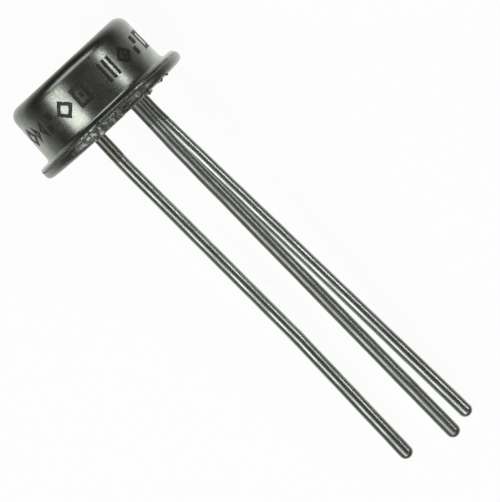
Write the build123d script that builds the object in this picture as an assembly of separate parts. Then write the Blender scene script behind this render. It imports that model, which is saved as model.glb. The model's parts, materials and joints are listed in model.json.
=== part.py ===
from build123d import *

import os
from math import asin, atan2, cos, degrees, hypot, radians, sin, tan

# Integrated circuit in a three-lead round metal can. Millimetres and degrees.
#
# The pieces are modelled in the package's own frame: the can axis is Z, with the seat (the underside
# of the header) at height 0, the cap above it and the leads below. X is the side of the can that ends
# up on top once the part lies down, and angles about the axis are counted from there.
# The finished package is then laid on its side: it rests on the rim of the header and on the tips of
# leads 2 and 3, with +X along the leads, +Z up and the origin on the surface, below its middle.

# Header: one stamping with a flange, an index tab and a raised platform for the die
flange_diameter = 5.54
header_flange_thickness = 0.30
flange_rim_radius = 0.07
tab_width = 1.14
tab_length = 0.95
tab_corner_radius = 0.10
tab_angle = -5.3
platform_height = 0.56
platform_edge_radius = 0.06
platform_clearance = 0.12

# Cap: drawn from thin sheet, its weld flange pressed flat on the header
package_height = 2.30
cap_foot_diameter = 4.68
cap_draft = 1.6
cap_sheet = 0.16
cap_flange_thickness = 0.10
cap_flange_inset = 0.04
cap_offset = 0.035
cap_corner_radius = 0.36
cap_foot_radius = 0.16
cap_rim_radius = 0.05

# Leads: round wire on one pin circle, cut to about one length and each gently bent below the seat
pin_circle_diameter = 2.54
lead_pitch_angle = 90.0
lead_1_angle = 37.0
lead_diameter = 0.432
lead_bend_radius = 12.0
lead_length = 14.50
lead_1_shortfall = 0.25
lead_1_straight = 1.75
lead_1_sway = 0.346
lead_1_rise = 0.04
lead_2_straight = 0.6
lead_2_sway = 0.848
lead_3_shortfall = 0.30
lead_3_straight = 1.3
lead_3_second_bend = 8.9
lead_3_second_sway = 0.290
lead_3_sway = 0.336
post_height = 0.34
post_head_diameter = 0.62
post_head_thickness = 0.08

# Glass seals round leads 1 and 2, and the braze that holds lead 3 in its socket
seal_diameter = 1.00
seal_recess = 0.05
meniscus_climb = 0.04
meniscus_width = 0.10
socket_diameter = 0.70
socket_depth = 0.10
braze_collar = 0.07

# Die, die attach and bond wires
die_length = 1.10
die_width = 0.86
die_thickness = 0.28
die_offset = 0.26
attach_thickness = 0.03
attach_margin = 0.06
pad_inset = 0.13
bond_wire_diameter = 0.05
bond_foot_diameter = 0.12
bond_foot_height = 0.03
bond_loop_height = 0.22
bond_loop_radius = 0.12
ground_bond_reach = 0.30

# Worked out from the sizes above
flange_radius = flange_diameter / 2
lead_radius = lead_diameter / 2
seal_radius = seal_diameter / 2
socket_radius = socket_diameter / 2
pin_circle_radius = pin_circle_diameter / 2
lead_2_angle = lead_1_angle + lead_pitch_angle
lead_3_angle = lead_2_angle + lead_pitch_angle
die_angle = lead_1_angle - lead_pitch_angle / 2
lead_1_length = lead_length - lead_1_shortfall
lead_3_length = lead_length - lead_3_shortfall
platform_top = header_flange_thickness + platform_height
post_top = platform_top + post_height
cap_foot = cap_foot_diameter / 2
cap_flange_top = header_flange_thickness + cap_flange_thickness
cap_top = cap_foot - (package_height - cap_flange_top) * tan(radians(cap_draft))
platform_radius = cap_foot - cap_sheet - platform_clearance
die_bottom = platform_top + attach_thickness
die_top = die_bottom + die_thickness


def on_pin_circle(angle, height=0):
    """The point on the pin circle at this angle about the can axis."""
    return Vector(pin_circle_radius, 0, height).rotate(Axis.Z, angle)


# How the package lies: at the tilt where leads 2 and 3 need the least bending to reach the surface,
# with the lowest line of its rim and the domed tips of both leads at height 0
resting_length = (lead_length + lead_3_length) / 2
resting_drop = (on_pin_circle(lead_2_angle).X + on_pin_circle(lead_3_angle).X) / 2
run_along = resting_length - lead_radius + flange_rim_radius
run_across = flange_radius - flange_rim_radius + resting_drop
lean = asin((flange_rim_radius - lead_radius) / hypot(run_along, run_across))
lie_tilt = atan2(run_across, run_along) + lean
seat_height = (flange_radius - flange_rim_radius) * cos(lie_tilt) + flange_rim_radius * (1 - sin(lie_tilt))


def resting_rise(angle, length):
    """How far the tip of a lead that carries the part stands from straight, so that it touches down."""
    tip_depth = length - lead_radius
    touching = (lead_radius - seat_height + tip_depth * sin(lie_tilt)) / cos(lie_tilt)
    return touching - on_pin_circle(angle).X


def lead_points(angle, top, straight, rise, sways):
    """Corner points of a lead's centre line, from its upper end to the centre of its domed tip.

    The lead runs straight to the distance below the seat that straight gives. From there it follows
    sways, pairs of (distance below the seat, sideways shift) that end at the tip, and rises evenly.
    """
    root = on_pin_circle(angle)
    slope = rise / (sways[-1][0] - straight)
    bends = [root + Vector(slope * (depth - straight), sway, -depth) for depth, sway in sways]
    return [root + Vector(0, 0, top), root - Vector(0, 0, straight), *bends]


lead_1_points = lead_points(
    lead_1_angle, post_top, lead_1_straight, lead_1_rise, [(lead_1_length - lead_radius, lead_1_sway)]
)
lead_2_points = lead_points(
    lead_2_angle,
    post_top,
    lead_2_straight,
    resting_rise(lead_2_angle, lead_length),
    [(lead_length - lead_radius, lead_2_sway)],
)
lead_3_points = lead_points(
    lead_3_angle,
    socket_depth,
    lead_3_straight,
    resting_rise(lead_3_angle, lead_3_length),
    [(lead_3_second_bend, lead_3_second_sway), (lead_3_length - lead_radius, lead_3_sway)],
)


def turned(*corners):
    """A solid turned about the can axis from a half section of (radius, height, fillet) corners."""
    outline = FilletPolyline(
        *[(radius, height) for radius, height, _ in corners],
        radius=[rounding for _, _, rounding in corners],
        close=True,
    )
    return revolve(Plane.XZ * make_face(outline), Axis.Z)


def disc(radius, bottom, top):
    """A round disc on the can axis."""
    return Pos(0, 0, bottom) * Cylinder(radius, top - bottom, align=(Align.CENTER, Align.CENTER, Align.MIN))


def block(length, width, bottom, top):
    """A rectangular block centred on the can axis."""
    return Pos(0, 0, (bottom + top) / 2) * Box(length, width, top - bottom)


def wire(points, diameter, bend_radius):
    """Round wire along straight runs joined by tangent arcs, with square ends."""
    section = Plane(origin=points[0], z_dir=points[1] - points[0]) * Circle(diameter / 2)
    return sweep(section, path=FilletPolyline(*points, radius=bend_radius))


def make_cap():
    """Drawn cap: closed top, slightly tapered wall and a weld flange, welded on a little off centre."""
    flange_edge = flange_radius - cap_flange_inset
    return Pos(0, -cap_offset, 0) * turned(
        (0, package_height, 0),
        (cap_top, package_height, cap_corner_radius),
        (cap_foot, cap_flange_top, cap_foot_radius),
        (flange_edge, cap_flange_top, cap_rim_radius),
        (flange_edge, header_flange_thickness, 0),
        (cap_foot - cap_sheet, header_flange_thickness, 0),
        (cap_top - cap_sheet, package_height - cap_sheet, cap_corner_radius - cap_sheet),
        (0, package_height - cap_sheet, 0),
    )


def make_header():
    """Header: flange with index tab, raised platform, two seal holes and the socket for lead 3."""
    body = turned(
        (0, 0, 0),
        (flange_radius, 0, flange_rim_radius),
        (flange_radius, header_flange_thickness, flange_rim_radius),
        (platform_radius, header_flange_thickness, 0),
        (platform_radius, platform_top, platform_edge_radius),
        (0, platform_top, 0),
    )
    tab_reach = flange_radius + tab_length
    tab = Pos(tab_reach / 2, 0, 0) * block(tab_reach, tab_width, 0, header_flange_thickness)
    tab = fillet(tab.edges().filter_by(Axis.Z).sort_by(Axis.X)[-2:], tab_corner_radius)
    header = body + Rot(0, 0, tab_angle) * tab
    for angle in (lead_1_angle, lead_2_angle):
        header -= Pos(on_pin_circle(angle)) * disc(seal_radius, 0, platform_top)
    return header - Pos(on_pin_circle(lead_3_angle)) * disc(socket_radius, 0, socket_depth)


def make_seal(angle):
    """Glass bead fused between a lead and the header, climbing a little up the lead at both ends."""
    bottom = seal_recess
    top = platform_top - seal_recess
    bead = turned(
        (lead_radius, bottom - meniscus_climb, 0),
        (lead_radius + meniscus_width, bottom, 0),
        (seal_radius, bottom, 0),
        (seal_radius, top, 0),
        (lead_radius + meniscus_width, top, 0),
        (lead_radius, top + meniscus_climb, 0),
    )
    return Pos(on_pin_circle(angle)) * bead


def make_lead(points):
    """Round lead wire with a domed tip."""
    return wire(points, lead_diameter, lead_bend_radius) + Pos(points[-1]) * Sphere(lead_radius)


def make_post_lead(points):
    """Lead that passes through its seal and ends inside in a flattened head for the bond wire."""
    head = disc(post_head_diameter / 2, post_top - post_head_thickness, post_top)
    return make_lead(points) + Pos(points[0].X, points[0].Y) * head


def make_braze():
    """Braze that fills the socket round lead 3 and stands as a small collar below the seat."""
    ring = turned(
        (lead_radius, -braze_collar, 0),
        (lead_radius + braze_collar, 0, 0),
        (socket_radius, 0, 0),
        (socket_radius, socket_depth, 0),
        (lead_radius, socket_depth, 0),
    )
    return Pos(on_pin_circle(lead_3_angle)) * ring


def on_die(along, across, height):
    """The point this far from the middle of the die, along the tab direction and across it."""
    return Vector(along, across - die_offset, height).rotate(Axis.Z, die_angle)


def die_block(margin, bottom, top):
    """A block under or in the die's place, wider than it by margin on each side."""
    slab = block(die_length + 2 * margin, die_width + 2 * margin, bottom, top)
    return Pos(on_die(0, 0, 0)) * Rot(0, 0, die_angle) * slab


def make_bond_wire(start, end):
    """Fine wire that loops from one bonded foot to the other."""
    apex = max(start.Z, end.Z) + bond_loop_height
    points = [start, Vector(start.X, start.Y, apex), Vector(end.X, end.Y, apex), end]
    bond = wire(points, bond_wire_diameter, bond_loop_radius)
    for foot in (start, end):
        bond += Pos(foot) * disc(bond_foot_diameter / 2, 0, bond_foot_height)
    return bond


pad_along = die_length / 2 - pad_inset
pad_across = die_width / 2 - pad_inset
pad_1 = on_die(pad_along, pad_across, die_top)
pad_2 = on_die(-pad_along, pad_across, die_top)
pad_3 = on_die(0, -pad_across, die_top)
ground_foot = on_die(0, -die_width / 2 - ground_bond_reach, platform_top)

nodes = {
    "cap": make_cap(),
    "header": make_header(),
    "glass_seal_1": make_seal(lead_1_angle),
    "glass_seal_2": make_seal(lead_2_angle),
    "lead_1": make_post_lead(lead_1_points),
    "lead_2": make_post_lead(lead_2_points),
    "lead_3": make_lead(lead_3_points),
    "lead_3_braze": make_braze(),
    "die_attach": die_block(attach_margin, platform_top, die_bottom),
    "die": die_block(0, die_bottom, die_top),
    "bond_wire_1": make_bond_wire(pad_1, on_pin_circle(lead_1_angle, post_top)),
    "bond_wire_2": make_bond_wire(pad_2, on_pin_circle(lead_2_angle, post_top)),
    "bond_wire_3": make_bond_wire(pad_3, ground_foot),
}

# Lay the package down: X turns to point up, and the can axis to point back along -X and a little up
laying = Pos(0, 0, seat_height) * Rot(0, degrees(lie_tilt) - 90, 0)
laid = {name: laying * piece for name, piece in nodes.items()}
boxes = [piece.bounding_box() for piece in laid.values()]
middle_x = (min(box.min.X for box in boxes) + max(box.max.X for box in boxes)) / 2
middle_y = (min(box.min.Y for box in boxes) + max(box.max.Y for box in boxes)) / 2
centring = Pos(-middle_x, -middle_y)

os.makedirs("parts", exist_ok=True)
for name, piece in laid.items():
    export_step(centring * piece, f"parts/{name}.step")
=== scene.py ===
import json
from math import acos, atan2, ceil, cos, pi, radians, sin, tan

import bmesh
import bpy
from mathutils import Matrix, Vector, noise


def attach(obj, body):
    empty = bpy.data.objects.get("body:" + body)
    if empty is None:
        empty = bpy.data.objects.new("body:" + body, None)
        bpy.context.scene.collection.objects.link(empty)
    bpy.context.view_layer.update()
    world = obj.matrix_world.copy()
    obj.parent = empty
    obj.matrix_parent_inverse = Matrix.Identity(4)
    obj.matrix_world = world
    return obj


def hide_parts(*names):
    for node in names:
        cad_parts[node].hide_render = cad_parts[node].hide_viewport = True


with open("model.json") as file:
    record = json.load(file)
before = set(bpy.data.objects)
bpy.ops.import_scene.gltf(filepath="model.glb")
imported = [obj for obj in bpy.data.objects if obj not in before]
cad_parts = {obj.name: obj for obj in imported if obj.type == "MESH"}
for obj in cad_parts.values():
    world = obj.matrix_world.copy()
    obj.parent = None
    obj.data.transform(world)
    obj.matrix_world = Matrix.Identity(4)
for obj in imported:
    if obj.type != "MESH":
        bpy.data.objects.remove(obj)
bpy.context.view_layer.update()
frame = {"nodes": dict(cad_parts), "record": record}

# Integrated circuit in a three-lead round metal can, lying on its side.
#
# Every piece is drawn in the package's own frame, in millimetres: the can axis is Z, with the seat at
# height 0, the cap above it and the leads below, and X is the side that lies uppermost. One matrix,
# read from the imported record's seat, then puts it where the CAD has it, in metres. Angles are in
# degrees, counted round the can axis from the uppermost side.

mounts = {mount["name"]: mount for mount in frame["record"]["mounts"]}
seat_centre = Vector(mounts["seat"]["pos_m"])
can_axis = -Vector(mounts["seat"]["axis"])
sideways = Vector((0, 1, 0))
upward = sideways.cross(can_axis)
turning = Matrix((upward, sideways, can_axis)).transposed()
millimetre = 0.001
micrometre = 0.001 * millimetre
lay_down = Matrix.Translation(seat_centre) @ turning.to_4x4() @ Matrix.Scale(millimetre, 4)

# Header
flange_radius = 2.77
header_flange = 0.30
flange_rim_radius = 0.07
flange_under_radius = 0.16
platform_radius = 2.06
platform_top = header_flange + 0.56
platform_edge_radius = 0.06

# Index tab: its tongue starts inside the flange, rises a little toward its end, and is torn coarse
# and fine over the last stretch
tab_width = 1.14
tab_length = 0.95
tab_root = 1.6
tab_corner_radius = 0.10
tab_edge_radius = 0.045
tab_lift = 0.035
tab_angle = -5.3
torn_stretch = 0.2
torn_coarse, torn_fine = 0.030, 0.012

# Cap
package_height = 2.30
cap_offset = 0.035
cap_foot_radius = 2.34
cap_draft = 1.6
cap_sheet = 0.16
cap_flange_top = header_flange + 0.10
cap_flange_radius = flange_radius - 0.04
cap_corner_radius = 0.36
cap_foot_fillet = 0.16
cap_rim_radius = 0.05

# Leads, seals and braze
pin_circle_radius = 1.27
lead_radius = 0.216
lead_bend_radius = 12.0
post_top = platform_top + 0.34
post_head_radius = 0.31
post_head_thickness = 0.08
post_head_step = 0.004
seal_radius = 0.50
seal_recess = 0.05
meniscus_climb = 0.04
meniscus_width = 0.10
socket_radius = 0.35
socket_depth = 0.10
braze_collar = 0.07
lead_angles = {1: 37, 2: 127, 3: 217}

# How far below the seat each lead runs straight, and the depth and sideways shift of any later bend
lead_bends = {1: (1.75, []), 2: (0.6, []), 3: (1.3, [(8.9, 0.290)])}

# The solder coat: how far the skin stands off the wire's nominal size where it is bare, near the
# header, and where the solder ran thickest, at each lead's tip, and how it ripples between
bare_wire = -0.009
solder_run = {1: 0.006, 2: 0.012, 3: 0.012}
coat_starts_over = 0.15
solder_unevenness = 0.016
solder_ripple = 0.9

# Surface detail
facets_round = 288
facets_small = 96
point_spacing = 0.04
level_spacing = 0.025
cutter_clearance = 0.4
drawn_waviness = 0.0035

# A rim is uneven from this far in from its edge, and fully so after this much more, in coarse and
# fine waves: a larger ring has shorter waves
rim_unevenness = 0.005
rim_starts_in, rim_full_over = 0.30, 0.26
coarse_ring, coarse_share = 7.0, 0.65
fine_ring, fine_share = 22.0, 0.5

# The weld's run-out: the places beside the tab where it is thickest stand this far each way from its
# middle, and are this wide before they fade
weld_unevenness = 0.017
weld_middle = -0.045
weld_run_out = 1.135
weld_run_out_width = 0.34
weld_fade = 0.14
weld_between = 0.3
crest_radius = 0.026
crest_inset = 0.010
crest_swell = 1.5

# Marks
mark_height = 0.76
mark_stroke = 0.115
mark_middle = 1.30
ink_thickness = 0.006
ink_bleed = 0.022
ink_grain = 26
ink_spacing = 0.03

cap_wall_height = package_height - cap_flange_top
cap_top_radius = cap_foot_radius - cap_wall_height * tan(radians(cap_draft))


# ---------------------------------------------------------------- making shapes


def polar(radius, angle, height=0.0):
    """A point this far from the can axis, at this angle in degrees from the uppermost side."""
    return Vector((radius * cos(radians(angle)), radius * sin(radians(angle)), height))


def rounded(corners, closed, steps=9):
    """The points of an outline whose (radius, height, rounding) corners are rounded by arcs."""
    outline = []
    for index, (across, up, rounding) in enumerate(corners):
        here = Vector((across, up))
        at_end = index in (0, len(corners) - 1)
        if rounding == 0 or (at_end and not closed):
            outline.append(here)
            continue
        back = (Vector(corners[index - 1][:2]) - here).normalized()
        ahead = (Vector(corners[(index + 1) % len(corners)][:2]) - here).normalized()
        half = acos(max(-1, min(1, back.dot(ahead)))) / 2
        middle = here + (back + ahead).normalized() * rounding / sin(half)
        start = here + back * rounding / tan(half) - middle
        end = here + ahead * rounding / tan(half) - middle
        first = atan2(start.y, start.x)
        sweep = (atan2(end.y, end.x) - first + pi) % (2 * pi) - pi
        for step in range(steps + 1):
            bearing = first + sweep * step / steps
            outline.append(middle + rounding * Vector((cos(bearing), sin(bearing))))
    return outline


def spaced(outline, spacing, closed):
    """The same outline with its long runs divided, so that fine unevenness has points to move."""
    points = []
    for index, here in enumerate(outline):
        points.append(here)
        if index == len(outline) - 1 and not closed:
            break
        there = outline[(index + 1) % len(outline)]
        pieces = max(1, ceil((there - here).length / spacing))
        points += [here.lerp(there, piece / pieces) for piece in range(1, pieces)]
    return points


def turned(corners, facets=facets_round, spacing=10.0, middle=Vector((0, 0, 0)), uneven=None):
    """A closed body turned about an axis along the can, or a ring where it stays off that axis."""
    closed = corners[0][0] > 0
    outline = spaced(rounded(corners, closed), spacing, closed)
    shape = bmesh.new()
    rings = []
    for across, up in outline:
        if across < 1e-9:
            rings.append([shape.verts.new(middle + Vector((0, 0, up)))] * facets)
            continue
        ring = []
        for facet in range(facets):
            bearing = 360 * facet / facets
            push = uneven(bearing, across, up) if uneven else 0
            ring.append(shape.verts.new(middle + polar(across + push, bearing, up)))
        rings.append(ring)
    pairs = list(zip(rings, rings[1:])) + ([(rings[-1], rings[0])] if closed else [])
    for lower, upper in pairs:
        for facet in range(facets):
            after = (facet + 1) % facets
            corners_used = [lower[facet], lower[after], upper[after], upper[facet]]
            face = list(dict.fromkeys(corners_used))
            if len(face) > 2:
                shape.faces.new(face)
    bmesh.ops.recalc_face_normals(shape, faces=shape.faces)
    return shape


def as_object(name, shape):
    """A mesh object from a shape that is drawn in the package's frame, still in millimetres."""
    mesh = bpy.data.meshes.new(name)
    shape.to_mesh(mesh)
    shape.free()
    made = bpy.data.objects.new(name, mesh)
    bpy.context.scene.collection.objects.link(made)
    return made


def evaluated_mesh(made, name):
    """Replaces an object by the plain mesh that its modifiers give."""
    bpy.context.view_layer.update()
    seen = made.evaluated_get(bpy.context.evaluated_depsgraph_get())
    mesh = bpy.data.meshes.new_from_object(seen)
    bpy.data.objects.remove(made)
    mesh.name = name
    plain = bpy.data.objects.new(name, mesh)
    bpy.context.scene.collection.objects.link(plain)
    return plain


def combine(base, tool, operation):
    """Joins another solid to the base or cuts it away, and clears the tool away."""
    cutter = base.modifiers.new("combine", "BOOLEAN")
    cutter.operation = operation
    cutter.solver = "EXACT"
    cutter.object = tool
    name = base.name
    base = evaluated_mesh(base, name)
    bpy.data.objects.remove(tool)
    return base


def finish_piece(piece, finish, replaced=(), crease=32, laid=False):
    """Lays a piece down with the part, smooths it between its creases and ties it to the CAD."""
    if not laid:
        piece.data.transform(lay_down)
    piece.data.shade_smooth()
    piece.data.set_sharp_from_angle(angle=radians(crease))
    piece.data.materials.clear()
    piece.data.materials.append(finish)
    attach(piece, "root")
    if replaced:
        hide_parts(*replaced)
    return piece


# ---------------------------------------------------------------- node helpers


def add(tree, kind, inputs=None, **settings):
    """Adds a node with its settings, and fills its inputs with values, outputs or other nodes."""
    made = tree.nodes.new(kind)
    for setting, value in settings.items():
        setattr(made, setting, value)
    for key, value in (inputs or {}).items():
        named = (socket for socket in made.inputs if socket.enabled and socket.name == key)
        socket = made.inputs[key] if isinstance(key, int) else next(named)
        if isinstance(value, bpy.types.Node):
            value = next(output for output in value.outputs if output.enabled)
        if isinstance(value, bpy.types.NodeSocket):
            tree.links.new(value, socket)
        else:
            socket.default_value = value
    return made


def colour(code):
    """An sRGB hex colour as the linear values that a shader takes."""
    channels = [int(code[start:start + 2], 16) / 255 for start in (1, 3, 5)]
    linear = [c / 12.92 if c <= 0.04045 else ((c + 0.055) / 1.055) ** 2.4 for c in channels]
    return (*linear, 1.0)


def every(size):
    """The texture scale whose features repeat about every this many millimetres."""
    return 1 / size


def new_material(name):
    """An empty material and its node tree."""
    made = bpy.data.materials.new(name)
    made.use_nodes = True
    made.node_tree.nodes.clear()
    return made, made.node_tree


def new_finish(name):
    """A material, its node tree, and the package's own coordinates in millimetres."""
    finish, tree = new_material(name)
    part = add(tree, "ShaderNodeTexCoord").outputs["Object"]
    place = add(tree, "ShaderNodeMapping", {
        "Vector": part, "Location": seat_centre, "Rotation": turning.to_euler(),
        "Scale": (millimetre, millimetre, millimetre),
    }, vector_type="TEXTURE")
    return finish, tree, place


# ---------------------------------------------------------------- finishes
# The grain of plate, solder, ink and bond wire is a few micrometres across, and too fine to show. It
# is drawn at 0.02 to 0.12 mm, as coarse as each needs to be. Clouds, scabs, ripples and the solder's
# ragged edge have their real sizes.


def make_plated_cap():
    """Nickel plated on drawn steel: a satin grey mirror with faint draw lines up its wall.

    It breaks up into fine dark specks, and is painted darker toward its top, as painted shade where
    its reflections fade.
    """
    finish, tree, place = new_finish("satin_nickel_plate")
    specks = add(tree, "ShaderNodeTexNoise", {
        "Vector": place, "Scale": every(0.07), "Detail": 4.0, "Roughness": 0.7})
    clouds = add(tree, "ShaderNodeTexNoise", {"Vector": place, "Scale": every(0.55), "Detail": 3.0})
    cloudy = add(tree, "ShaderNodeMapRange", {"Value": clouds, "From Min": 0.35, "From Max": 0.7})
    height = add(tree, "ShaderNodeSeparateXYZ", {"Vector": place}).outputs["Z"]
    # Painted shade: the plate darkens toward the top of the wall, where its reflections fade
    painted_shade_darkening = add(tree, "ShaderNodeMapRange", {
        "Value": height, "From Min": 1.45, "From Max": 2.0, "To Max": 0.32})
    dark_mask_with_painted_shade = add(tree, "ShaderNodeMath", {0: specks, 1: painted_shade_darkening}, operation="ADD")
    darkening = add(tree, "ShaderNodeMapRange", {
        "Value": dark_mask_with_painted_shade, "From Min": 0.58, "From Max": 0.74, "To Max": 0.40})
    plate = add(tree, "ShaderNodeMix", {
        "Factor": cloudy, "A": colour("#ADB1A6"), "B": colour("#D0D4C9")}, data_type="RGBA")
    tone = add(tree, "ShaderNodeMix", {
        "Factor": darkening, "A": plate, "B": colour("#7C7F77")}, data_type="RGBA")
    gloss = add(tree, "ShaderNodeMapRange", {
        "Value": specks, "From Min": 0.3, "From Max": 0.75, "To Min": 0.205, "To Max": 0.30})
    pulled = add(tree, "ShaderNodeMapping", {"Vector": place, "Scale": (1.0, 1.0, 0.12)})
    draw_lines = add(tree, "ShaderNodeTexNoise", {
        "Vector": pulled, "Scale": every(0.12), "Detail": 2.0})
    drawn = add(tree, "ShaderNodeBump", {
        "Height": draw_lines, "Strength": 1.0, "Distance": 0.35 * micrometre})
    skin = add(tree, "ShaderNodeBump", {
        "Height": specks, "Strength": 1.0, "Distance": 0.2 * micrometre, "Normal": drawn})
    surface = add(tree, "ShaderNodeBsdfPrincipled", {
        "Base Color": tone, "Metallic": 1.0, "Roughness": gloss, "Normal": skin})
    add(tree, "ShaderNodeOutputMaterial", {"Surface": surface})
    return finish


def make_plated_header():
    """Nickel plated on stamped steel: satin grey, scabbed where the weld ran out beside the tab."""
    finish, tree, place = new_finish("welded_nickel_plate")
    apart = add(tree, "ShaderNodeSeparateXYZ", {"Vector": place})
    off = add(tree, "ShaderNodeMath", {0: apart.outputs["Y"], 1: weld_middle}, operation="SUBTRACT")
    beside = add(tree, "ShaderNodeMath", {0: off}, operation="ABSOLUTE")
    from_run_out = add(tree, "ShaderNodeMath", {
        0: beside, 1: weld_run_out}, operation="SUBTRACT")
    astray = add(tree, "ShaderNodeMath", {0: from_run_out}, operation="ABSOLUTE")
    run_out = add(tree, "ShaderNodeMapRange", {
        "Value": astray, "From Min": weld_run_out_width - weld_fade, "From Max": weld_run_out_width,
        "To Min": 1.0, "To Max": 0.0})
    between = add(tree, "ShaderNodeMapRange", {
        "Value": from_run_out, "From Max": 0.1, "To Min": weld_between, "To Max": 0.0})
    near = add(tree, "ShaderNodeMath", {0: run_out, 1: between}, operation="MAXIMUM")
    on_top = add(tree, "ShaderNodeMapRange", {
        "Value": apart.outputs["X"], "From Min": 1.9, "From Max": 2.3})
    upper = add(tree, "ShaderNodeMath", {0: near, 1: on_top}, operation="MULTIPLY")
    facing = add(tree, "ShaderNodeNewGeometry").outputs["True Normal"]
    end_on = add(tree, "ShaderNodeVectorMath", {0: facing, 1: can_axis}, operation="DOT_PRODUCT")
    flatness = add(tree, "ShaderNodeMath", {0: end_on.outputs["Value"]}, operation="ABSOLUTE")
    at_edge = add(tree, "ShaderNodeMapRange", {
        "Value": flatness, "From Min": 0.5, "From Max": 0.95, "To Min": 1.0, "To Max": 0.12})
    burr = add(tree, "ShaderNodeMath", {0: upper, 1: at_edge}, operation="MULTIPLY")
    specks = add(tree, "ShaderNodeTexNoise", {
        "Vector": place, "Scale": every(0.07), "Detail": 4.0, "Roughness": 0.7})
    scabs = add(tree, "ShaderNodeTexNoise", {
        "Vector": place, "Scale": every(0.17), "Detail": 1.5, "Roughness": 0.5})
    scabbed = add(tree, "ShaderNodeMapRange", {"Value": scabs, "From Min": 0.42, "From Max": 0.60})
    patches = add(tree, "ShaderNodeMath", {0: scabbed, 1: burr}, operation="MULTIPLY")
    darkening = add(tree, "ShaderNodeMapRange", {
        "Value": specks, "From Min": 0.60, "From Max": 0.76, "To Max": 0.45})
    plate = add(tree, "ShaderNodeMix", {
        "Factor": patches, "A": colour("#A6A9A1"), "B": colour("#7F827A")}, data_type="RGBA")
    tone = add(tree, "ShaderNodeMix", {
        "Factor": darkening, "A": plate, "B": colour("#63665F")}, data_type="RGBA")
    gloss = add(tree, "ShaderNodeMapRange", {"Value": patches, "To Min": 0.29, "To Max": 0.62})
    lumps = add(tree, "ShaderNodeMath", {0: scabs, 1: burr}, operation="MULTIPLY")
    fine = add(tree, "ShaderNodeBump", {
        "Height": specks, "Strength": 1.0, "Distance": 0.4 * micrometre})
    skin = add(tree, "ShaderNodeBump", {
        "Height": lumps, "Strength": 1.0, "Distance": 7 * micrometre, "Normal": fine})
    surface = add(tree, "ShaderNodeBsdfPrincipled", {
        "Base Color": tone, "Metallic": 1.0, "Roughness": gloss, "Normal": skin})
    add(tree, "ShaderNodeOutputMaterial", {"Surface": surface})
    return finish


def make_weld_metal():
    """Steel squeezed out molten by the weld and frozen: a rough grey crust with brighter edges."""
    finish, tree, place = new_finish("weld_flash_metal")
    crust = add(tree, "ShaderNodeTexNoise", {
        "Vector": place, "Scale": every(0.08), "Detail": 5.0, "Roughness": 0.7})
    broken = add(tree, "ShaderNodeMapRange", {"Value": crust, "From Min": 0.4, "From Max": 0.62})
    tone = add(tree, "ShaderNodeMix", {
        "Factor": broken, "A": colour("#7C7F76"), "B": colour("#C2C5BD")}, data_type="RGBA")
    gloss = add(tree, "ShaderNodeMapRange", {
        "Value": crust, "From Min": 0.35, "From Max": 0.65, "To Min": 0.58, "To Max": 0.42})
    skin = add(tree, "ShaderNodeBump", {
        "Height": crust, "Strength": 1.0, "Distance": 3 * micrometre})
    surface = add(tree, "ShaderNodeBsdfPrincipled", {
        "Base Color": tone, "Metallic": 1.0, "Roughness": gloss, "Normal": skin})
    add(tree, "ShaderNodeOutputMaterial", {"Surface": surface})
    return finish


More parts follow.
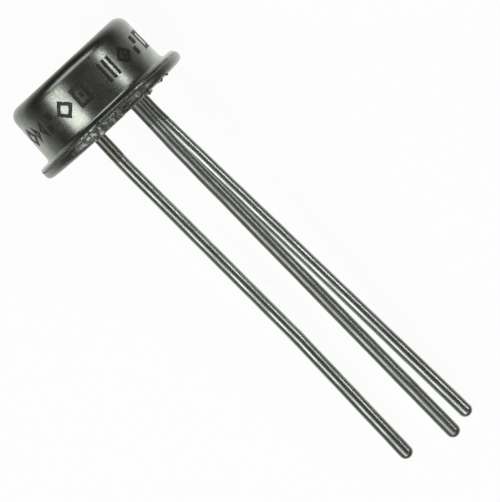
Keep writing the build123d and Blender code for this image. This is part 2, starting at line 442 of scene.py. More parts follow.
def make_lead_coat():
    """Drawn wire dipped in hot solder: bright streaks along it, greyer where it was not dipped.

    The uppermost lead is darker and rougher, the others are painted darker toward their tips as
    painted shade where their reflections fade, and the outer of the two is lighter.
    """
    finish, tree, place = new_finish("solder_dipped_wire")
    apart = add(tree, "ShaderNodeSeparateXYZ", {"Vector": place})
    # The uppermost lead is darker and rougher, and the outer of the other two lighter
    uppermost_lead = add(tree, "ShaderNodeMapRange", {"Value": apart.outputs["X"], "From Max": 0.5})
    beside = add(tree, "ShaderNodeMapRange", {
        "Value": apart.outputs["Y"], "From Min": -0.2, "From Max": 0.2, "To Max": 0.3})
    lighter_lead = add(tree, "ShaderNodeMath", {
        0: beside, 1: uppermost_lead}, operation="SUBTRACT", use_clamp=True)
    edge = add(tree, "ShaderNodeTexNoise", {"Vector": place, "Scale": every(0.7), "Detail": 2.0})
    ragged = add(tree, "ShaderNodeMath", {
        0: edge, 1: 1.3, 2: apart.outputs["Z"]}, operation="MULTIPLY_ADD")
    undipped = add(tree, "ShaderNodeMapRange", {
        "Value": ragged, "From Min": -0.38, "From Max": -0.32})
    pulled = add(tree, "ShaderNodeMapping", {"Vector": place, "Scale": (1.0, 1.0, 0.10)})
    streaks = add(tree, "ShaderNodeTexNoise", {
        "Vector": pulled, "Scale": every(0.09), "Detail": 3.0, "Roughness": 0.55})
    dross = add(tree, "ShaderNodeTexNoise", {
        "Vector": place, "Scale": every(0.06), "Detail": 4.0, "Roughness": 0.7})
    streaky = add(tree, "ShaderNodeMapRange", {"Value": streaks, "From Min": 0.42, "From Max": 0.68})
    specked = add(tree, "ShaderNodeMapRange", {
        "Value": dross, "From Min": 0.62, "From Max": 0.78, "To Max": 0.35})
    bright = add(tree, "ShaderNodeMix", {
        "Factor": streaky, "A": colour("#CDD3CA"), "B": colour("#A3A99F")}, data_type="RGBA")
    brighter = add(tree, "ShaderNodeMix", {
        "Factor": lighter_lead, "A": bright, "B": colour("#EEF2EC")}, data_type="RGBA")
    coat = add(tree, "ShaderNodeMix", {
        "Factor": specked, "A": brighter, "B": colour("#74776F")}, data_type="RGBA")
    # Painted shade: the coat darkens toward the tips, where the lamps' reflections fade
    painted_tip_shade = add(tree, "ShaderNodeMapRange", {
        "Value": apart.outputs["Z"], "From Min": -8.5, "From Max": -11.0, "To Max": 0.7})
    uppermost_and_painted_tip_shade = add(tree, "ShaderNodeMath", {0: uppermost_lead, 1: painted_tip_shade}, operation="MAXIMUM")
    dark_mask_with_painted_shade = add(tree, "ShaderNodeMath", {0: uppermost_and_painted_tip_shade, 1: 0.45}, operation="MULTIPLY")
    painted_shade_darkening = add(tree, "ShaderNodeMix", {
        "Factor": dark_mask_with_painted_shade, "A": coat, "B": colour("#868B82")}, data_type="RGBA")
    tone = add(tree, "ShaderNodeMix", {
        "Factor": undipped, "A": painted_shade_darkening, "B": colour("#91958B")}, data_type="RGBA")
    smooth = add(tree, "ShaderNodeMapRange", {
        "Value": streaks, "From Min": 0.3, "From Max": 0.7, "To Min": 0.25, "To Max": 0.36})
    matt = add(tree, "ShaderNodeMath", {0: uppermost_lead, 1: 0.065, 2: smooth}, operation="MULTIPLY_ADD")
    gloss = add(tree, "ShaderNodeMath", {0: undipped, 1: 0.07, 2: matt}, operation="MULTIPLY_ADD")
    along_wire = add(tree, "ShaderNodeBump", {
        "Height": streaks, "Strength": 1.0, "Distance": 0.7 * micrometre})
    skin = add(tree, "ShaderNodeBump", {
        "Height": dross, "Strength": 1.0, "Distance": 0.2 * micrometre, "Normal": along_wire})
    surface = add(tree, "ShaderNodeBsdfPrincipled", {
        "Base Color": tone, "Metallic": 1.0, "Roughness": gloss, "Normal": skin})
    add(tree, "ShaderNodeOutputMaterial", {"Surface": surface})
    return finish


def make_seal_glass():
    """Glass bead fired in its hole: dark grey-green and glossy, with fine bubbles under its skin."""
    finish, tree, place = new_finish("fired_seal_glass")
    bubbles = add(tree, "ShaderNodeTexVoronoi", {"Vector": place, "Scale": every(0.07)})
    flow = add(tree, "ShaderNodeTexNoise", {"Vector": place, "Scale": every(0.25), "Detail": 3.0})
    veiled = add(tree, "ShaderNodeMapRange", {"Value": flow, "From Min": 0.35, "From Max": 0.65})
    bubbly = add(tree, "ShaderNodeMapRange", {
        "Value": bubbles, "From Min": 0.05, "From Max": 0.16, "To Min": 0.6, "To Max": 0.0})
    glass = add(tree, "ShaderNodeMix", {
        "Factor": veiled, "A": colour("#2F3B36"), "B": colour("#435049")}, data_type="RGBA")
    tone = add(tree, "ShaderNodeMix", {
        "Factor": bubbly, "A": glass, "B": colour("#8C978F")}, data_type="RGBA")
    skin = add(tree, "ShaderNodeBump", {
        "Height": flow, "Strength": 1.0, "Distance": 3 * micrometre})
    surface = add(tree, "ShaderNodeBsdfPrincipled", {
        "Base Color": tone, "Roughness": 0.09, "IOR": 1.52, "Normal": skin})
    add(tree, "ShaderNodeOutputMaterial", {"Surface": surface})
    return finish


def make_braze_metal():
    """Silver-copper braze melted and frozen in its joint: pale warm metal with a soft ripple."""
    finish, tree, place = new_finish("frozen_silver_braze")
    ripple = add(tree, "ShaderNodeTexNoise", {"Vector": place, "Scale": every(0.12), "Detail": 3.0})
    crests = add(tree, "ShaderNodeMapRange", {"Value": ripple, "From Min": 0.35, "From Max": 0.65})
    tone = add(tree, "ShaderNodeMix", {
        "Factor": crests, "A": colour("#C9BCA0"), "B": colour("#DAD2BE")}, data_type="RGBA")
    gloss = add(tree, "ShaderNodeMapRange", {
        "Value": ripple, "From Min": 0.3, "From Max": 0.7, "To Min": 0.22, "To Max": 0.36})
    skin = add(tree, "ShaderNodeBump", {
        "Height": ripple, "Strength": 1.0, "Distance": 4 * micrometre})
    surface = add(tree, "ShaderNodeBsdfPrincipled", {
        "Base Color": tone, "Metallic": 1.0, "Roughness": gloss, "Normal": skin})
    add(tree, "ShaderNodeOutputMaterial", {"Surface": surface})
    return finish


def make_marking_ink():
    """Epoxy ink, stamped and cured: flat grey-black, worn so that specks of plate glint through."""
    finish, tree, place = new_finish("epoxy_marking_ink")
    wear = add(tree, "ShaderNodeTexNoise", {
        "Vector": place, "Scale": every(0.06), "Detail": 4.0, "Roughness": 0.7})
    body = add(tree, "ShaderNodeTexNoise", {"Vector": place, "Scale": every(0.2), "Detail": 3.0})
    bare = add(tree, "ShaderNodeMapRange", {
        "Value": wear, "From Min": 0.52, "From Max": 0.70, "To Max": 0.7})
    ink = add(tree, "ShaderNodeMix", {
        "Factor": body, "A": colour("#2B2C29"), "B": colour("#454641")}, data_type="RGBA")
    tone = add(tree, "ShaderNodeMix", {
        "Factor": bare, "A": ink, "B": colour("#85857D")}, data_type="RGBA")
    gloss = add(tree, "ShaderNodeMapRange", {
        "Value": wear, "From Min": 0.3, "From Max": 0.7, "To Min": 0.5, "To Max": 0.36})
    skin = add(tree, "ShaderNodeBump", {
        "Height": wear, "Strength": 1.0, "Distance": 1.2 * micrometre})
    surface = add(tree, "ShaderNodeBsdfPrincipled", {
        "Base Color": tone, "Metallic": bare, "Roughness": gloss, "Normal": skin})
    add(tree, "ShaderNodeOutputMaterial", {"Surface": surface})
    return finish


def make_silicon():
    """Silicon, polished and oxidised: a dark blue-grey mirror, checked by the circuit's blocks."""
    finish, tree, place = new_finish("oxidised_silicon")
    blocks = add(tree, "ShaderNodeTexBrick", {
        "Vector": place, "Scale": 1.0, "Brick Width": 0.18, "Row Height": 0.11, "Mortar Size": 0.012,
        "Color1": colour("#3A4A5C"), "Color2": colour("#5A5068"), "Mortar": colour("#8D929A")})
    etched = add(tree, "ShaderNodeTexNoise", {"Vector": place, "Scale": every(0.03), "Detail": 3.0})
    gloss = add(tree, "ShaderNodeMapRange", {
        "Value": etched, "From Min": 0.3, "From Max": 0.7, "To Min": 0.12, "To Max": 0.22})
    surface = add(tree, "ShaderNodeBsdfPrincipled", {
        "Base Color": blocks, "Metallic": 0.6, "Roughness": gloss})
    add(tree, "ShaderNodeOutputMaterial", {"Surface": surface})
    return finish


def make_attach_gold():
    """Gold-silicon eutectic, scrubbed down under the die: warm gold in small matte grains."""
    finish, tree, place = new_finish("eutectic_gold")
    scrub = add(tree, "ShaderNodeTexNoise", {"Vector": place, "Scale": every(0.05), "Detail": 3.0})
    tone = add(tree, "ShaderNodeMix", {
        "Factor": scrub, "A": colour("#D8B25C"), "B": colour("#B98F45")}, data_type="RGBA")
    gloss = add(tree, "ShaderNodeMapRange", {
        "Value": scrub, "From Min": 0.3, "From Max": 0.7, "To Min": 0.28, "To Max": 0.45})
    skin = add(tree, "ShaderNodeBump", {
        "Height": scrub, "Strength": 1.0, "Distance": 3 * micrometre})
    surface = add(tree, "ShaderNodeBsdfPrincipled", {
        "Base Color": tone, "Metallic": 1.0, "Roughness": gloss, "Normal": skin})
    add(tree, "ShaderNodeOutputMaterial", {"Surface": surface})
    return finish


def make_bond_aluminium():
    """Aluminium drawn to bond wire: pale and bright with a faint grain."""
    finish, tree, place = new_finish("drawn_bond_aluminium")
    lines = add(tree, "ShaderNodeTexNoise", {"Vector": place, "Scale": every(0.02), "Detail": 2.0})
    tone = add(tree, "ShaderNodeMix", {
        "Factor": lines, "A": colour("#D9DADB"), "B": colour("#BFC1C3")}, data_type="RGBA")
    gloss = add(tree, "ShaderNodeMapRange", {
        "Value": lines, "From Min": 0.3, "From Max": 0.7, "To Min": 0.2, "To Max": 0.32})
    surface = add(tree, "ShaderNodeBsdfPrincipled", {
        "Base Color": tone, "Metallic": 1.0, "Roughness": gloss})
    add(tree, "ShaderNodeOutputMaterial", {"Surface": surface})
    return finish


cap_plate = make_plated_cap()
header_plate = make_plated_header()
weld_metal = make_weld_metal()
lead_coat = make_lead_coat()
seal_glass = make_seal_glass()
braze_metal = make_braze_metal()
marking_ink = make_marking_ink()


# ---------------------------------------------------------------- cap


def drawn_skin(bearing, across, up):
    """How far the drawn cap's skin stands off its true round: a few micrometres, in slow waves."""
    spot = polar(across, bearing, up) * 0.9
    return drawn_waviness * noise.noise(spot) * min(1, across / 0.6)


def by_weld(across_part):
    """How much weld metal ran out here: most at two places beside the tab, little between them."""
    beyond = abs(across_part - weld_middle) - weld_run_out
    run_out = max(0, min(1, (weld_run_out_width - abs(beyond)) / weld_fade))
    return max(run_out, weld_between if beyond < 0 else 0)


def rim_edge(seed):
    """Unevenness that grows from nothing to its most over the outer edge of a flange."""
    def push(bearing, across, up):
        edge = max(0, min(1, (across - flange_radius + rim_starts_in) / rim_full_over))
        spot = polar(across, bearing)
        burr = by_weld(spot.y) if spot.x > 0 else 0
        coarse = noise.noise(polar(coarse_ring, bearing, seed + up * 3)) * coarse_share
        fine = noise.noise(polar(fine_ring, bearing, seed + 3 + up * 9)) * fine_share
        return edge * (rim_unevenness + weld_unevenness * burr) * (coarse + fine)
    return push


cap_rim_edge = rim_edge(1.5)


def cap_unevenness(bearing, across, up):
    """The drawn skin's waviness and the welded rim's unevenness together."""
    return drawn_skin(bearing, across, up) + cap_rim_edge(bearing, across, up)


cap = as_object("cap_shell", turned([
    (0, package_height, 0),
    (cap_top_radius, package_height, cap_corner_radius),
    (cap_foot_radius, cap_flange_top, cap_foot_fillet),
    (cap_flange_radius, cap_flange_top, cap_rim_radius),
    (cap_flange_radius, header_flange, 0),
    (cap_foot_radius - cap_sheet, header_flange, 0),
    (cap_top_radius - cap_sheet, package_height - cap_sheet, cap_corner_radius - cap_sheet),
    (0, package_height - cap_sheet, 0),
], spacing=0.16, middle=Vector((0, -cap_offset, 0)), uneven=cap_unevenness))
finish_piece(cap, cap_plate, ["cap"])


# ---------------------------------------------------------------- header


def make_tab():
    """The index tab: a flat tongue with rounded corners and a torn, uneven end."""
    reach = flange_radius + tab_length
    half = tab_width / 2
    outline = rounded([
        (tab_root, -half, 0), (reach, -half, tab_corner_radius),
        (reach, half, tab_corner_radius), (tab_root, half, 0),
    ], closed=True)
    outline = spaced(outline, point_spacing, closed=True)
    levels = spaced(rounded([
        (-0.5, 0, 0), (0, 0, tab_edge_radius),
        (0, header_flange, tab_edge_radius), (-0.5, header_flange, 0),
    ], closed=False, steps=4), level_spacing, closed=False)
    levels = [level for level in levels if level.x > -tab_edge_radius - 1e-6]
    shape = bmesh.new()
    rings = []
    for level in levels:
        ring = []
        for spot in outline:
            inward = -level.x
            rough = (torn_coarse * noise.noise(Vector((spot.y * 5, level.y * 6, 5.0)))
                     + torn_fine * noise.noise(Vector((spot.y * 13, level.y * 15, 8.0))))
            torn = rough if spot.x > reach - torn_stretch else 0
            shrink = Vector((spot.x - inward if spot.x > tab_root + 0.1 else spot.x,
                             spot.y - inward * (1 if spot.y > 0 else -1)))
            lift = tab_lift * max(0, (shrink.x - flange_radius) / tab_length) ** 2
            ring.append(shape.verts.new((shrink.x + torn, shrink.y, level.y + lift)))
        rings.append(ring)
    for lower, upper in zip(rings, rings[1:]):
        for spot in range(len(outline)):
            after = (spot + 1) % len(outline)
            shape.faces.new([lower[spot], lower[after], upper[after], upper[spot]])
    shape.faces.new(rings[0])
    shape.faces.new(rings[-1])
    bmesh.ops.recalc_face_normals(shape, faces=shape.faces)
    shape.transform(Matrix.Rotation(radians(tab_angle), 4, "Z"))
    return as_object("index_tab", shape)


def make_hole(angle, radius, top):
    """A round cutter at this angle on the pin circle, up to this height."""
    below = -cutter_clearance
    corners = [(0, below, 0), (radius, below, 0), (radius, top, 0), (0, top, 0)]
    middle = polar(pin_circle_radius, angle)
    return as_object("hole", turned(corners, facets=facets_small, middle=middle))


header = as_object("header_body", turned([
    (0, 0, 0),
    (flange_radius, 0, flange_under_radius),
    (flange_radius, header_flange, flange_rim_radius),
    (platform_radius, header_flange, 0),
    (platform_radius, platform_top, platform_edge_radius),
    (0, platform_top, 0),
], spacing=0.08, uneven=rim_edge(6.2)))
header = combine(header, make_tab(), "UNION")
for number in (1, 2):
    hole = make_hole(lead_angles[number], seal_radius, platform_top + cutter_clearance)
    header = combine(header, hole, "DIFFERENCE")
header = combine(header, make_hole(lead_angles[3], socket_radius, socket_depth), "DIFFERENCE")
finish_piece(header, header_plate, ["header"])


# ---------------------------------------------------------------- seals and braze


def hollow(climb, width, count=5):
    """A meniscus: distances from the wire with heights, curving up the wire like a fillet."""
    return [(width * (1 - sin(pi / 2 * step / count)), climb * (1 - cos(pi / 2 * step / count)))
            for step in range(count + 1)]


def make_seal(number):
    """Glass bead round a lead, drawn up the wire in a curved meniscus at both ends."""
    bottom, top = seal_recess, platform_top - seal_recess
    curve = hollow(meniscus_climb, meniscus_width)
    lower = [(lead_radius + off, bottom - climb, 0) for off, climb in reversed(curve)]
    upper = [(lead_radius + off, top + climb, 0) for off, climb in curve]
    ring = lower + [(seal_radius, bottom, 0), (seal_radius, top, 0)] + upper
    middle = polar(pin_circle_radius, lead_angles[number])
    bead = as_object(f"glass_bead_{number}", turned(ring, facets=facets_small, middle=middle))
    return finish_piece(bead, seal_glass, [f"glass_seal_{number}"])


for number in (1, 2):
    make_seal(number)

curve = hollow(braze_collar, braze_collar)
collar = [(lead_radius + off, -climb, 0) for off, climb in reversed(curve)]
socket = [(socket_radius, 0, 0), (socket_radius, socket_depth, 0), (lead_radius, socket_depth, 0)]
braze = as_object("braze_fillet", turned(
    collar + socket, facets=facets_small, middle=polar(pin_circle_radius, lead_angles[3])))
finish_piece(braze, braze_metal, ["lead_3_braze"])


# ---------------------------------------------------------------- geometry nodes


def new_rule(name, numbers, with_shape):
    """A geometry node tree with these named inputs and a finish, and a shape input if it has one."""
    tree = bpy.data.node_groups.new(name, "GeometryNodeTree")
    if with_shape:
        tree.interface.new_socket("Geometry", in_out="INPUT", socket_type="NodeSocketGeometry")
    tree.interface.new_socket("Geometry", in_out="OUTPUT", socket_type="NodeSocketGeometry")
    for label, kind in numbers.items():
        tree.interface.new_socket(label, in_out="INPUT", socket_type=kind)
    tree.interface.new_socket("Finish", in_out="INPUT", socket_type="NodeSocketMaterial")
    return tree, add(tree, "NodeGroupInput").outputs


def close_rule(tree, shape, finish):
    """Ends a tree in real geometry with its finish."""
    real = add(tree, "GeometryNodeRealizeInstances", {"Geometry": shape})
    coated = add(tree, "GeometryNodeSetMaterial", {"Geometry": real, "Material": finish})
    add(tree, "NodeGroupOutput", {"Geometry": coated})


def by_rule(name, tree, data, values):
    """The plain mesh that a tree makes from this data with these values, no modifier left on it."""
    made = bpy.data.objects.new(name, data)
    bpy.context.scene.collection.objects.link(made)
    rule = made.modifiers.new("rule", "NODES")
    rule.node_group = tree
    for socket in tree.interface.items_tree:
        if socket.in_out == "INPUT" and socket.name in values:
            rule[socket.identifier] = values[socket.name]
    return evaluated_mesh(made, name)


def make_wire_rule():
    """A wire swept along its own path, with the slight unevenness of dipped solder on its skin."""
    number = "NodeSocketFloat"
    tree, given = new_rule("dipped_wire", {
        "Sides": "NodeSocketInt", "Unevenness": number, "Ripple Scale": number,
    }, with_shape=True)
    ring = add(tree, "GeometryNodeCurvePrimitiveCircle", {
        "Resolution": given["Sides"], "Radius": 1.0})
    thickness = add(tree, "GeometryNodeInputRadius").outputs["Radius"]
    swept = add(tree, "GeometryNodeCurveToMesh", {
        "Curve": given["Geometry"], "Profile Curve": ring.outputs["Curve"], "Scale": thickness,
        "Fill Caps": True,
    }).outputs["Mesh"]
    ripple = add(tree, "ShaderNodeTexNoise", {"Scale": given["Ripple Scale"], "Detail": 2.0})
    lift = add(tree, "ShaderNodeMath", {0: ripple.outputs["Fac"], 1: 0.5}, operation="SUBTRACT")
    amount = add(tree, "ShaderNodeMath", {
        0: lift.outputs[0], 1: given["Unevenness"]}, operation="MULTIPLY")
    facing = add(tree, "GeometryNodeInputNormal").outputs["Normal"]
    push = add(tree, "ShaderNodeVectorMath", {
        0: facing, "Scale": amount.outputs[0]}, operation="SCALE")
    moved = add(tree, "GeometryNodeSetPosition", {"Geometry": swept, "Offset": push.outputs[0]})
    close_rule(tree, moved.outputs["Geometry"], given["Finish"])
    return tree


def make_flash_rule():
    """The thin crest that the weld squeezes out between two flanges, thick and thin by turns."""
    number = "NodeSocketFloat"
    tree, given = new_rule("weld_flash", {
        "Rim Radius": number, "Crest": number, "Variation": number, "Seed": number,
    }, with_shape=False)
    round_path = add(tree, "GeometryNodeCurvePrimitiveCircle", {
        "Resolution": 720, "Radius": given["Rim Radius"]})
    spot = add(tree, "GeometryNodeInputPosition").outputs["Position"]
    lumps = add(tree, "ShaderNodeTexNoise", {
        "Vector": spot, "W": given["Seed"], "Scale": 2.6, "Detail": 4.0, "Roughness": 0.7,
    }, noise_dimensions="4D").outputs["Fac"]
    size = add(tree, "ShaderNodeMapRange", {
        "Value": lumps, "From Min": 0.38, "From Max": 0.66,
        "To Min": 0.35, "To Max": given["Variation"],
    }).outputs["Result"]
    thick = add(tree, "ShaderNodeMath", {
        0: size, 1: given["Crest"]}, operation="MULTIPLY").outputs[0]
    sized = add(tree, "GeometryNodeSetCurveRadius", {
        "Curve": round_path.outputs["Curve"], "Radius": thick})
    ring = add(tree, "GeometryNodeCurvePrimitiveCircle", {"Resolution": 12, "Radius": 1.0})
    thickness = add(tree, "GeometryNodeInputRadius").outputs["Radius"]
    swept = add(tree, "GeometryNodeCurveToMesh", {
        "Curve": sized.outputs["Curve"], "Profile Curve": ring.outputs["Curve"], "Scale": thickness,
    }).outputs["Mesh"]
    close_rule(tree, swept, given["Finish"])
    return tree


def make_spatter_rule():
    """Small frozen drops of weld metal, scattered along an arc of the rim."""
    number = "NodeSocketFloat"
    tree, given = new_rule("weld_spatter", {
        "Drops": "NodeSocketInt", "Rim Radius": number, "Half Arc": number, "Drop Size": number,
        "Low": number, "High": number, "Seed": "NodeSocketInt",
    }, with_shape=False)
    line = add(tree, "GeometryNodeMeshLine", {"Count": given["Drops"]}).outputs["Mesh"]
    below = add(tree, "ShaderNodeMath", {
        0: given["Half Arc"], 1: -1.0}, operation="MULTIPLY").outputs[0]
    bearing = add(tree, "FunctionNodeRandomValue", {
        2: below, 3: given["Half Arc"], "Seed": given["Seed"]}, data_type="FLOAT").outputs[1]
    level = add(tree, "FunctionNodeRandomValue", {
        2: given["Low"], 3: given["High"], "Seed": 41}, data_type="FLOAT").outputs[1]
    east = add(tree, "ShaderNodeMath", {0: bearing}, operation="COSINE").outputs[0]
    north = add(tree, "ShaderNodeMath", {0: bearing}, operation="SINE").outputs[0]
    across = add(tree, "ShaderNodeMath", {
        0: east, 1: given["Rim Radius"]}, operation="MULTIPLY").outputs[0]
    along = add(tree, "ShaderNodeMath", {
        0: north, 1: given["Rim Radius"]}, operation="MULTIPLY").outputs[0]
    spot = add(tree, "ShaderNodeCombineXYZ", {"X": across, "Y": along, "Z": level}).outputs[0]
    spots = add(tree, "GeometryNodeSetPosition", {
        "Geometry": line, "Position": spot}).outputs["Geometry"]
    drop = add(tree, "GeometryNodeMeshIcoSphere", {
        "Radius": given["Drop Size"], "Subdivisions": 3}).outputs["Mesh"]
    grown = add(tree, "FunctionNodeRandomValue", {
        0: (0.35, 0.35, 0.3), 1: (1.0, 1.5, 0.9), "Seed": 7}, data_type="FLOAT_VECTOR").outputs[0]
    placed = add(tree, "GeometryNodeInstanceOnPoints", {
        "Points": spots, "Instance": drop, "Scale": grown,
    }).outputs["Instances"]
    real = add(tree, "GeometryNodeRealizeInstances", {"Geometry": placed}).outputs[0]
    facing = add(tree, "GeometryNodeInputNormal").outputs["Normal"]
    lumps = add(tree, "ShaderNodeTexNoise", {"Scale": 14.0, "Detail": 2.0}).outputs["Fac"]
    lift = add(tree, "ShaderNodeMath", {0: lumps, 1: 0.5}, operation="SUBTRACT").outputs[0]
    amount = add(tree, "ShaderNodeMath", {
        0: lift, 1: given["Drop Size"]}, operation="MULTIPLY").outputs[0]
    push = add(tree, "ShaderNodeVectorMath", {
        0: facing, "Scale": amount}, operation="SCALE").outputs[0]
    rough = add(tree, "GeometryNodeSetPosition", {
        "Geometry": real, "Offset": push}).outputs["Geometry"]
    close_rule(tree, rough, given["Finish"])
    return tree


# ---------------------------------------------------------------- leads


def bent(points, bend_radius, steps=10):
    """The line of a wire with each corner replaced by its bend."""
    line = [points[0]]
    for before, here, after in zip(points, points[1:], points[2:]):
        back, ahead = (before - here).normalized(), (after - here).normalized()
        half = back.angle(ahead) / 2
        middle = here + (back + ahead).normalized() * bend_radius / sin(half)
        start = here + back * bend_radius / tan(half) - middle
        end = here + ahead * bend_radius / tan(half) - middle
        turns = [start.lerp(end, step / steps).normalized() for step in range(steps + 1)]
        line += [middle + turn * bend_radius for turn in turns]
    return line + [points[-1]]


def along(line, distance):
    """The point this far along a line, or straight on past its end."""
    for here, there in zip(line, line[1:]):
        length = (there - here).length
        if distance <= length:
            return here.lerp(there, distance / length)
        distance -= length
    return line[-1] + (line[-1] - line[-2]).normalized() * distance


def to_package(point):
    """A point of the shared frame, in metres, as the package's own millimetres."""
    return turning.transposed() @ (Vector(point) - seat_centre) / millimetre


def lead_corners(number, top):
    """The corners of a lead's centre line, from its upper end to the middle of its domed tip."""
    root = polar(pin_circle_radius, lead_angles[number])
    mount = mounts[f"lead_{number}_end"]
    run = turning.transposed() @ Vector(mount["axis"])
    tip = to_package(mount["pos_m"]) + run * mount["dims"]["length_mm"] / 2
    straight, bends = lead_bends[number]
    slope = (tip.x - root.x) / (-tip.z - straight)
    middle = [root + Vector((slope * (depth - straight), sway, -depth)) for depth, sway in bends]
    return [root + Vector((0, 0, top)), root - Vector((0, 0, straight)), *middle, tip]


def coat_build(number, below, reach):
    """How far a lead's skin stands off its nominal radius: bare near the header, thick at its tip."""
    if below <= 0:
        return 0
    build = bare_wire + (solder_run[number] - bare_wire) * below / reach
    return min(1, below / coat_starts_over) * build


def make_lead(number, top, head):
    """A lead: an inner end with or without a flattened head, a long shank and a domed tip."""
    line = bent(lead_corners(number, top), lead_bend_radius)
    length = sum((b - a).length for a, b in zip(line, line[1:]))
    stations = []
    if head:
        stations += [(0, post_head_radius), (post_head_thickness, post_head_radius)]
    begin = post_head_thickness + post_head_step if head else 0
    count = int((length - begin) / point_spacing)
    for step in range(count + 1):
        distance = begin + (length - begin) * step / count
        stations.append((distance, lead_radius + coat_build(number, distance - top, length - top)))
    tip_radius = lead_radius + solder_run[number]
    dome_rings = 14
    for step in range(1, dome_rings + 1):
        rise = radians(87) * step / dome_rings
        stations.append((length + lead_radius * sin(rise), tip_radius * cos(rise)))
    path = bpy.data.curves.new(f"lead_path_{number}", "CURVE")
    path.dimensions = "3D"
    spline = path.splines.new("POLY")
    spline.points.add(len(stations) - 1)
    for point, (distance, radius) in zip(spline.points, stations):
        # The centre line rises by the coat's build, so that the coat rests on the floor
        raised = max(0, coat_build(number, distance - top, length - top))
        point.co = (*(lay_down @ (along(line, distance) + Vector((raised, 0, 0)))), 1)
        point.radius = radius * millimetre
    wire = by_rule(f"lead_wire_{number}", wire_rule, path, {
        "Sides": 40, "Unevenness": solder_unevenness * millimetre,
        "Ripple Scale": every(solder_ripple * millimetre), "Finish": lead_coat,
    })
    return finish_piece(wire, lead_coat, [f"lead_{number}"], crease=50, laid=True)


wire_rule = make_wire_rule()
make_lead(1, post_top, head=True)
make_lead(2, post_top, head=True)
make_lead(3, socket_depth, head=False)


# ---------------------------------------------------------------- weld

flash = by_rule("weld_flash", make_flash_rule(), bpy.data.meshes.new("flash_seed"), {
    "Rim Radius": cap_flange_radius - crest_inset, "Crest": crest_radius,
    "Variation": crest_swell, "Seed": 3.0, "Finish": weld_metal,
})
flash.data.transform(Matrix.Translation((0, -cap_offset, header_flange)))
finish_piece(flash, weld_metal)

spatter_rule = make_spatter_rule()


def add_drops(name, count, bearing, half_arc, size, low, high, seed):
    """Frozen drops of weld metal, sunk a little into a stretch of the rim, between two heights."""
    drops = by_rule(name, spatter_rule, bpy.data.meshes.new("seed"), {
        "Drops": count, "Rim Radius": flange_radius - 0.4 * size, "Half Arc": radians(half_arc),
        "Drop Size": size, "Low": low, "High": high, "Seed": seed, "Finish": weld_metal,
    })
    drops.data.transform(Matrix.Rotation(radians(bearing), 4, "Z"))
    finish_piece(drops, weld_metal)


add_drops("weld_spatter", count=60, bearing=tab_angle, half_arc=32, size=0.05,
          low=0.02, high=cap_flange_top - 0.05, seed=11)
add_drops("weld_bead", count=5, bearing=26, half_arc=2.5, size=0.06,
          low=-0.03, high=0.01, seed=5)
add_drops("weld_beads_fine", count=9, bearing=41, half_arc=7, size=0.035,
          low=-0.015, high=0.02, seed=8)


# ---------------------------------------------------------------- marking


def ring_of(count, size):
    """The corners of an even shape with this many sides, this far from its middle."""
    return [Vector((size * cos(2 * pi * k / count), size * sin(2 * pi * k / count)))
            for k in range(count)]


def bar(width, height, across=0.0, up=0.0):
    """The corners of an upright block."""
    return [Vector((across + x * width / 2, up + y * height / 2))
            for x, y in ((-1, -1), (1, -1), (1, 1), (-1, 1))]


def divided(corners, count):
    """The same closed shape with more points along each side, to lie close on the round wall."""
    sides = zip(corners, corners[1:] + corners[:1])
    return [a.lerp(b, k / count) for a, b in sides for k in range(count)]


def wall_point(bearing, spot, lift):
    """A point of the tapered wall at this bearing, moved across and up by the spot, and lifted."""
    height = mark_middle + spot.y
    radius = cap_foot_radius - (height - cap_flange_top) * tan(radians(cap_draft))
    bearing = radians(bearing) + spot.x / radius
    radius += lift
    return Vector((radius * cos(bearing), radius * sin(bearing) - cap_offset, height))


def bled(spot, bearing):
    """A point of an ink edge where the ink has bled or broken off a little."""
    place = Vector((spot.x, spot.y, bearing * 0.37)) * ink_grain
    return spot + Vector((noise.noise(place), noise.noise(place + Vector((9, 4, 2))))) * ink_bleed


def print_shape(shape, bearing, outer, inner):
    """Lays one closed shape of ink on the wall, solid to its middle or open inside its inner edge."""
    longest = max((b - a).length for a, b in zip(outer, outer[1:]))
    count = max(2, ceil(longest / ink_spacing))
    outer = divided(outer, count)
    if inner is None:
        middle = sum(outer, Vector((0, 0))) / len(outer)
        inner = [middle.lerp(spot, 0.02) for spot in outer]
    else:
        inner = divided(inner, count)
    outer = [bled(spot, bearing) for spot in outer]
    inner = [bled(spot, bearing) for spot in inner]
    loops = [[i.lerp(o, step / 4) for i, o in zip(inner, outer)] for step in range(5)]
    top, low = [[[shape.verts.new(wall_point(bearing, spot, lift)) for spot in loop]
                 for loop in loops] for lift in (ink_thickness, -ink_thickness)]
    count = len(outer)
    for skin in (top, low):
        for near, far in zip(skin, skin[1:]):
            for k in range(count):
                shape.faces.new([near[k], near[(k + 1) % count], far[(k + 1) % count], far[k]])
    for edge in (0, -1):
        for k in range(count):
            after = (k + 1) % count
            shape.faces.new([top[edge][k], top[edge][after], low[edge][after], low[edge][k]])


def hollow_shape(corners, share):
    """A closed shape and its open middle, which is this share of its size."""
    middle = sum(corners, Vector((0, 0))) / len(corners)
    return corners, [middle.lerp(corner, share) for corner in corners]


half = mark_height / 2
stroke = mark_stroke
point = half * 0.88
tall = mark_height * 0.9
wide = 0.48
diamond = hollow_shape(ring_of(4, point), 1 - 1.41 * stroke / point)
frame_mark = (bar(wide, tall), bar(wide - 2 * stroke, tall - 2 * stroke))
dot = (bar(stroke, stroke * 1.4), None)
posts = [(bar(stroke * 0.85, tall, place), None) for place in (-0.19, 0, 0.19)]
checks = [(bar(0.20, half * 0.7, side * 0.11, side * half * 0.42), None) for side in (-1, 1)]
bow = [hollow_shape([Vector((side * 0.03, 0)), Vector((side * 0.27, -half * 0.8)),
                     Vector((side * 0.27, half * 0.8))], 0.34) for side in (-1, 1)]

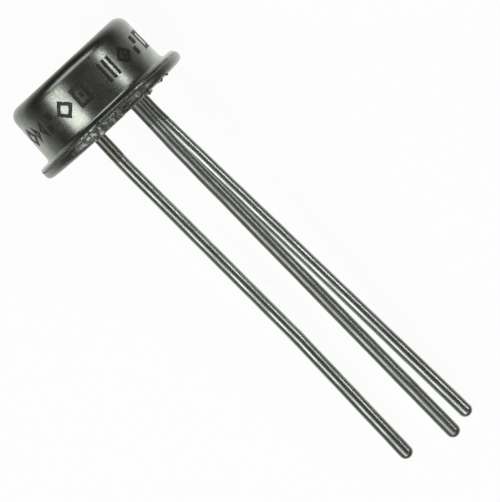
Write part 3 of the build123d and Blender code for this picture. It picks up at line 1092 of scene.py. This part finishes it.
# Each mark's bearing from the uppermost side, and the shapes that it is printed in
marks = {
    -71: [diamond], -55: bow, -39.5: checks, -22.5: [diamond], -5.5: [frame_mark, dot],
    23: posts, 41: [diamond, dot], 58: checks, 74: [frame_mark],
}
printing = bmesh.new()
for bearing, shapes in marks.items():
    for outer, inner in shapes:
        print_shape(printing, bearing, outer, inner)
bmesh.ops.recalc_face_normals(printing, faces=printing.faces)
finish_piece(as_object("plain_marks", printing), marking_ink)


# ---------------------------------------------------------------- inside the can
# These pieces keep their solids and only get their finishes.

inside = {"die": make_silicon(), "die_attach": make_attach_gold()}
bond_metal = make_bond_aluminium()
inside.update({f"bond_wire_{number}": bond_metal for number in (1, 2, 3)})
for node, finish in inside.items():
    for holder in frame["nodes"][node].material_slots:
        holder.material = finish


# ---------------------------------------------------------------- floor, light and camera

table_width = 1.1
pane_clearance = 2e-6
pane_clearness = 0.90
pane_glow = 0.45
panel_radius = 0.55
panel_place = (0, 0.025, -0.10)
panel_fading = -6.0
panel_middle = 0.18
hood_radius = 0.62
hood_glow = 0.035
box_distance = 0.25
camera_lens = 160.0
camera_height = 0.071
camera_past_seat = 0.005748
camera_sideways = 0.000271
camera_turn = 47.23


def make_floor():
    """A white light table: a thin pane that holds a soft shadow, over a pale panel well below it."""
    bpy.ops.mesh.primitive_plane_add(size=table_width, location=(0, 0, -pane_clearance))
    pane = bpy.context.object
    pane.name = "table_pane"
    acrylic, tree = new_material("white_acrylic")
    matte = add(tree, "ShaderNodeBsdfDiffuse", {"Color": colour("#F6F7F5")}).outputs[0]
    inner = add(tree, "ShaderNodeEmission", {
        "Color": colour("#FFFFFF"), "Strength": pane_glow}).outputs[0]
    white = add(tree, "ShaderNodeAddShader", {0: matte, 1: inner}).outputs[0]
    clear = add(tree, "ShaderNodeBsdfTransparent", {"Color": colour("#FFFFFF")}).outputs[0]
    mixed = add(tree, "ShaderNodeMixShader", {0: pane_clearness, 1: white, 2: clear}).outputs[0]
    add(tree, "ShaderNodeOutputMaterial", {"Surface": mixed})
    pane.data.materials.append(acrylic)
    bpy.ops.mesh.primitive_circle_add(
        vertices=96, radius=panel_radius, fill_type="NGON", location=panel_place)
    panel = bpy.context.object
    panel.name = "light_panel"
    lit, tree = new_material("lit_panel")
    spot = add(tree, "ShaderNodeTexCoord").outputs["Object"]
    away = add(tree, "ShaderNodeVectorMath", {0: spot}, operation="LENGTH").outputs["Value"]
    fading = add(tree, "ShaderNodeMath", {
        0: away, 1: panel_fading, 2: panel_middle}, operation="MULTIPLY_ADD").outputs[0]
    strength = add(tree, "ShaderNodeMath", {0: fading}, operation="EXPONENT").outputs[0]
    glow = add(tree, "ShaderNodeEmission", {
        "Color": colour("#FFFFFF"), "Strength": strength}).outputs[0]
    add(tree, "ShaderNodeOutputMaterial", {"Surface": glow})
    panel.data.materials.append(lit)
    panel.visible_camera = False


def make_hood():
    """A dark cloth hood over the table, outside the lamps, which polished metal mirrors as dark."""
    bpy.ops.mesh.primitive_uv_sphere_add(
        segments=48, ring_count=24, radius=hood_radius, location=(0, 0, 0))
    hood = bpy.context.object
    hood.name = "hood"
    cloth, tree = new_material("dark_cloth")
    glow = add(tree, "ShaderNodeEmission", {
        "Color": colour("#FFFFFF"), "Strength": hood_glow}).outputs[0]
    add(tree, "ShaderNodeOutputMaterial", {"Surface": glow})
    hood.data.materials.append(cloth)
    hood.visible_camera = False


def add_box_light(name, toward, tilt, width, length, radiance, along_leads=0.0):
    """A soft box of this size and brightness, tilted from overhead toward a bearing.

    Toward 0 tilts it toward -Y, 180 toward +Y, -90 toward the cap's end and 90 toward the tips.
    """
    lamp = bpy.data.lights.new(name, "AREA")
    lamp.shape = "RECTANGLE"
    lamp.size, lamp.size_y = length, width
    lamp.energy = radiance * pi * width * length
    aim = Matrix.Rotation(radians(toward), 4, "Z") @ Matrix.Rotation(radians(tilt), 4, "X")
    box_light = bpy.data.objects.new(name, lamp)
    bpy.context.scene.collection.objects.link(box_light)
    start = Matrix.Translation(can_middle + Vector((along_leads, 0, 0)))
    box_light.matrix_world = start @ aim @ Matrix.Translation((0, 0, box_distance))


def make_camera():
    """The camera, straight above the part and turned so that the leads run down to the right."""
    lens = bpy.data.cameras.new("camera")
    lens.lens = camera_lens
    lens.clip_start, lens.clip_end = 0.001, 10
    camera = bpy.data.objects.new("camera", lens)
    bpy.context.scene.collection.objects.link(camera)
    camera.location = (seat_centre.x + camera_past_seat, camera_sideways, camera_height)
    camera.rotation_euler = (0, 0, radians(camera_turn))
    bpy.context.scene.camera = camera


can_middle = seat_centre + can_axis * 0.5 * package_height * millimetre
make_floor()
make_hood()
add_box_light("side_box", toward=0, tilt=41, width=0.13, length=0.42, radiance=1.95,
              along_leads=0.204)
add_box_light("far_side_box", toward=180, tilt=52, width=0.056, length=0.105, radiance=2.95,
              along_leads=0.057)
add_box_light("head_box", toward=-90, tilt=27, width=0.11, length=0.46, radiance=0.9)
add_box_light("tip_box", toward=85, tilt=46, width=0.07, length=0.20, radiance=0.5)
make_camera()

world = bpy.data.worlds.new("studio")
bpy.context.scene.world = world
world.use_nodes = True
world.node_tree.nodes["Background"].inputs["Color"].default_value = colour("#FFFFFF")
world.node_tree.nodes["Background"].inputs["Strength"].default_value = 1.0
bpy.context.scene.view_settings.view_transform = "Standard"
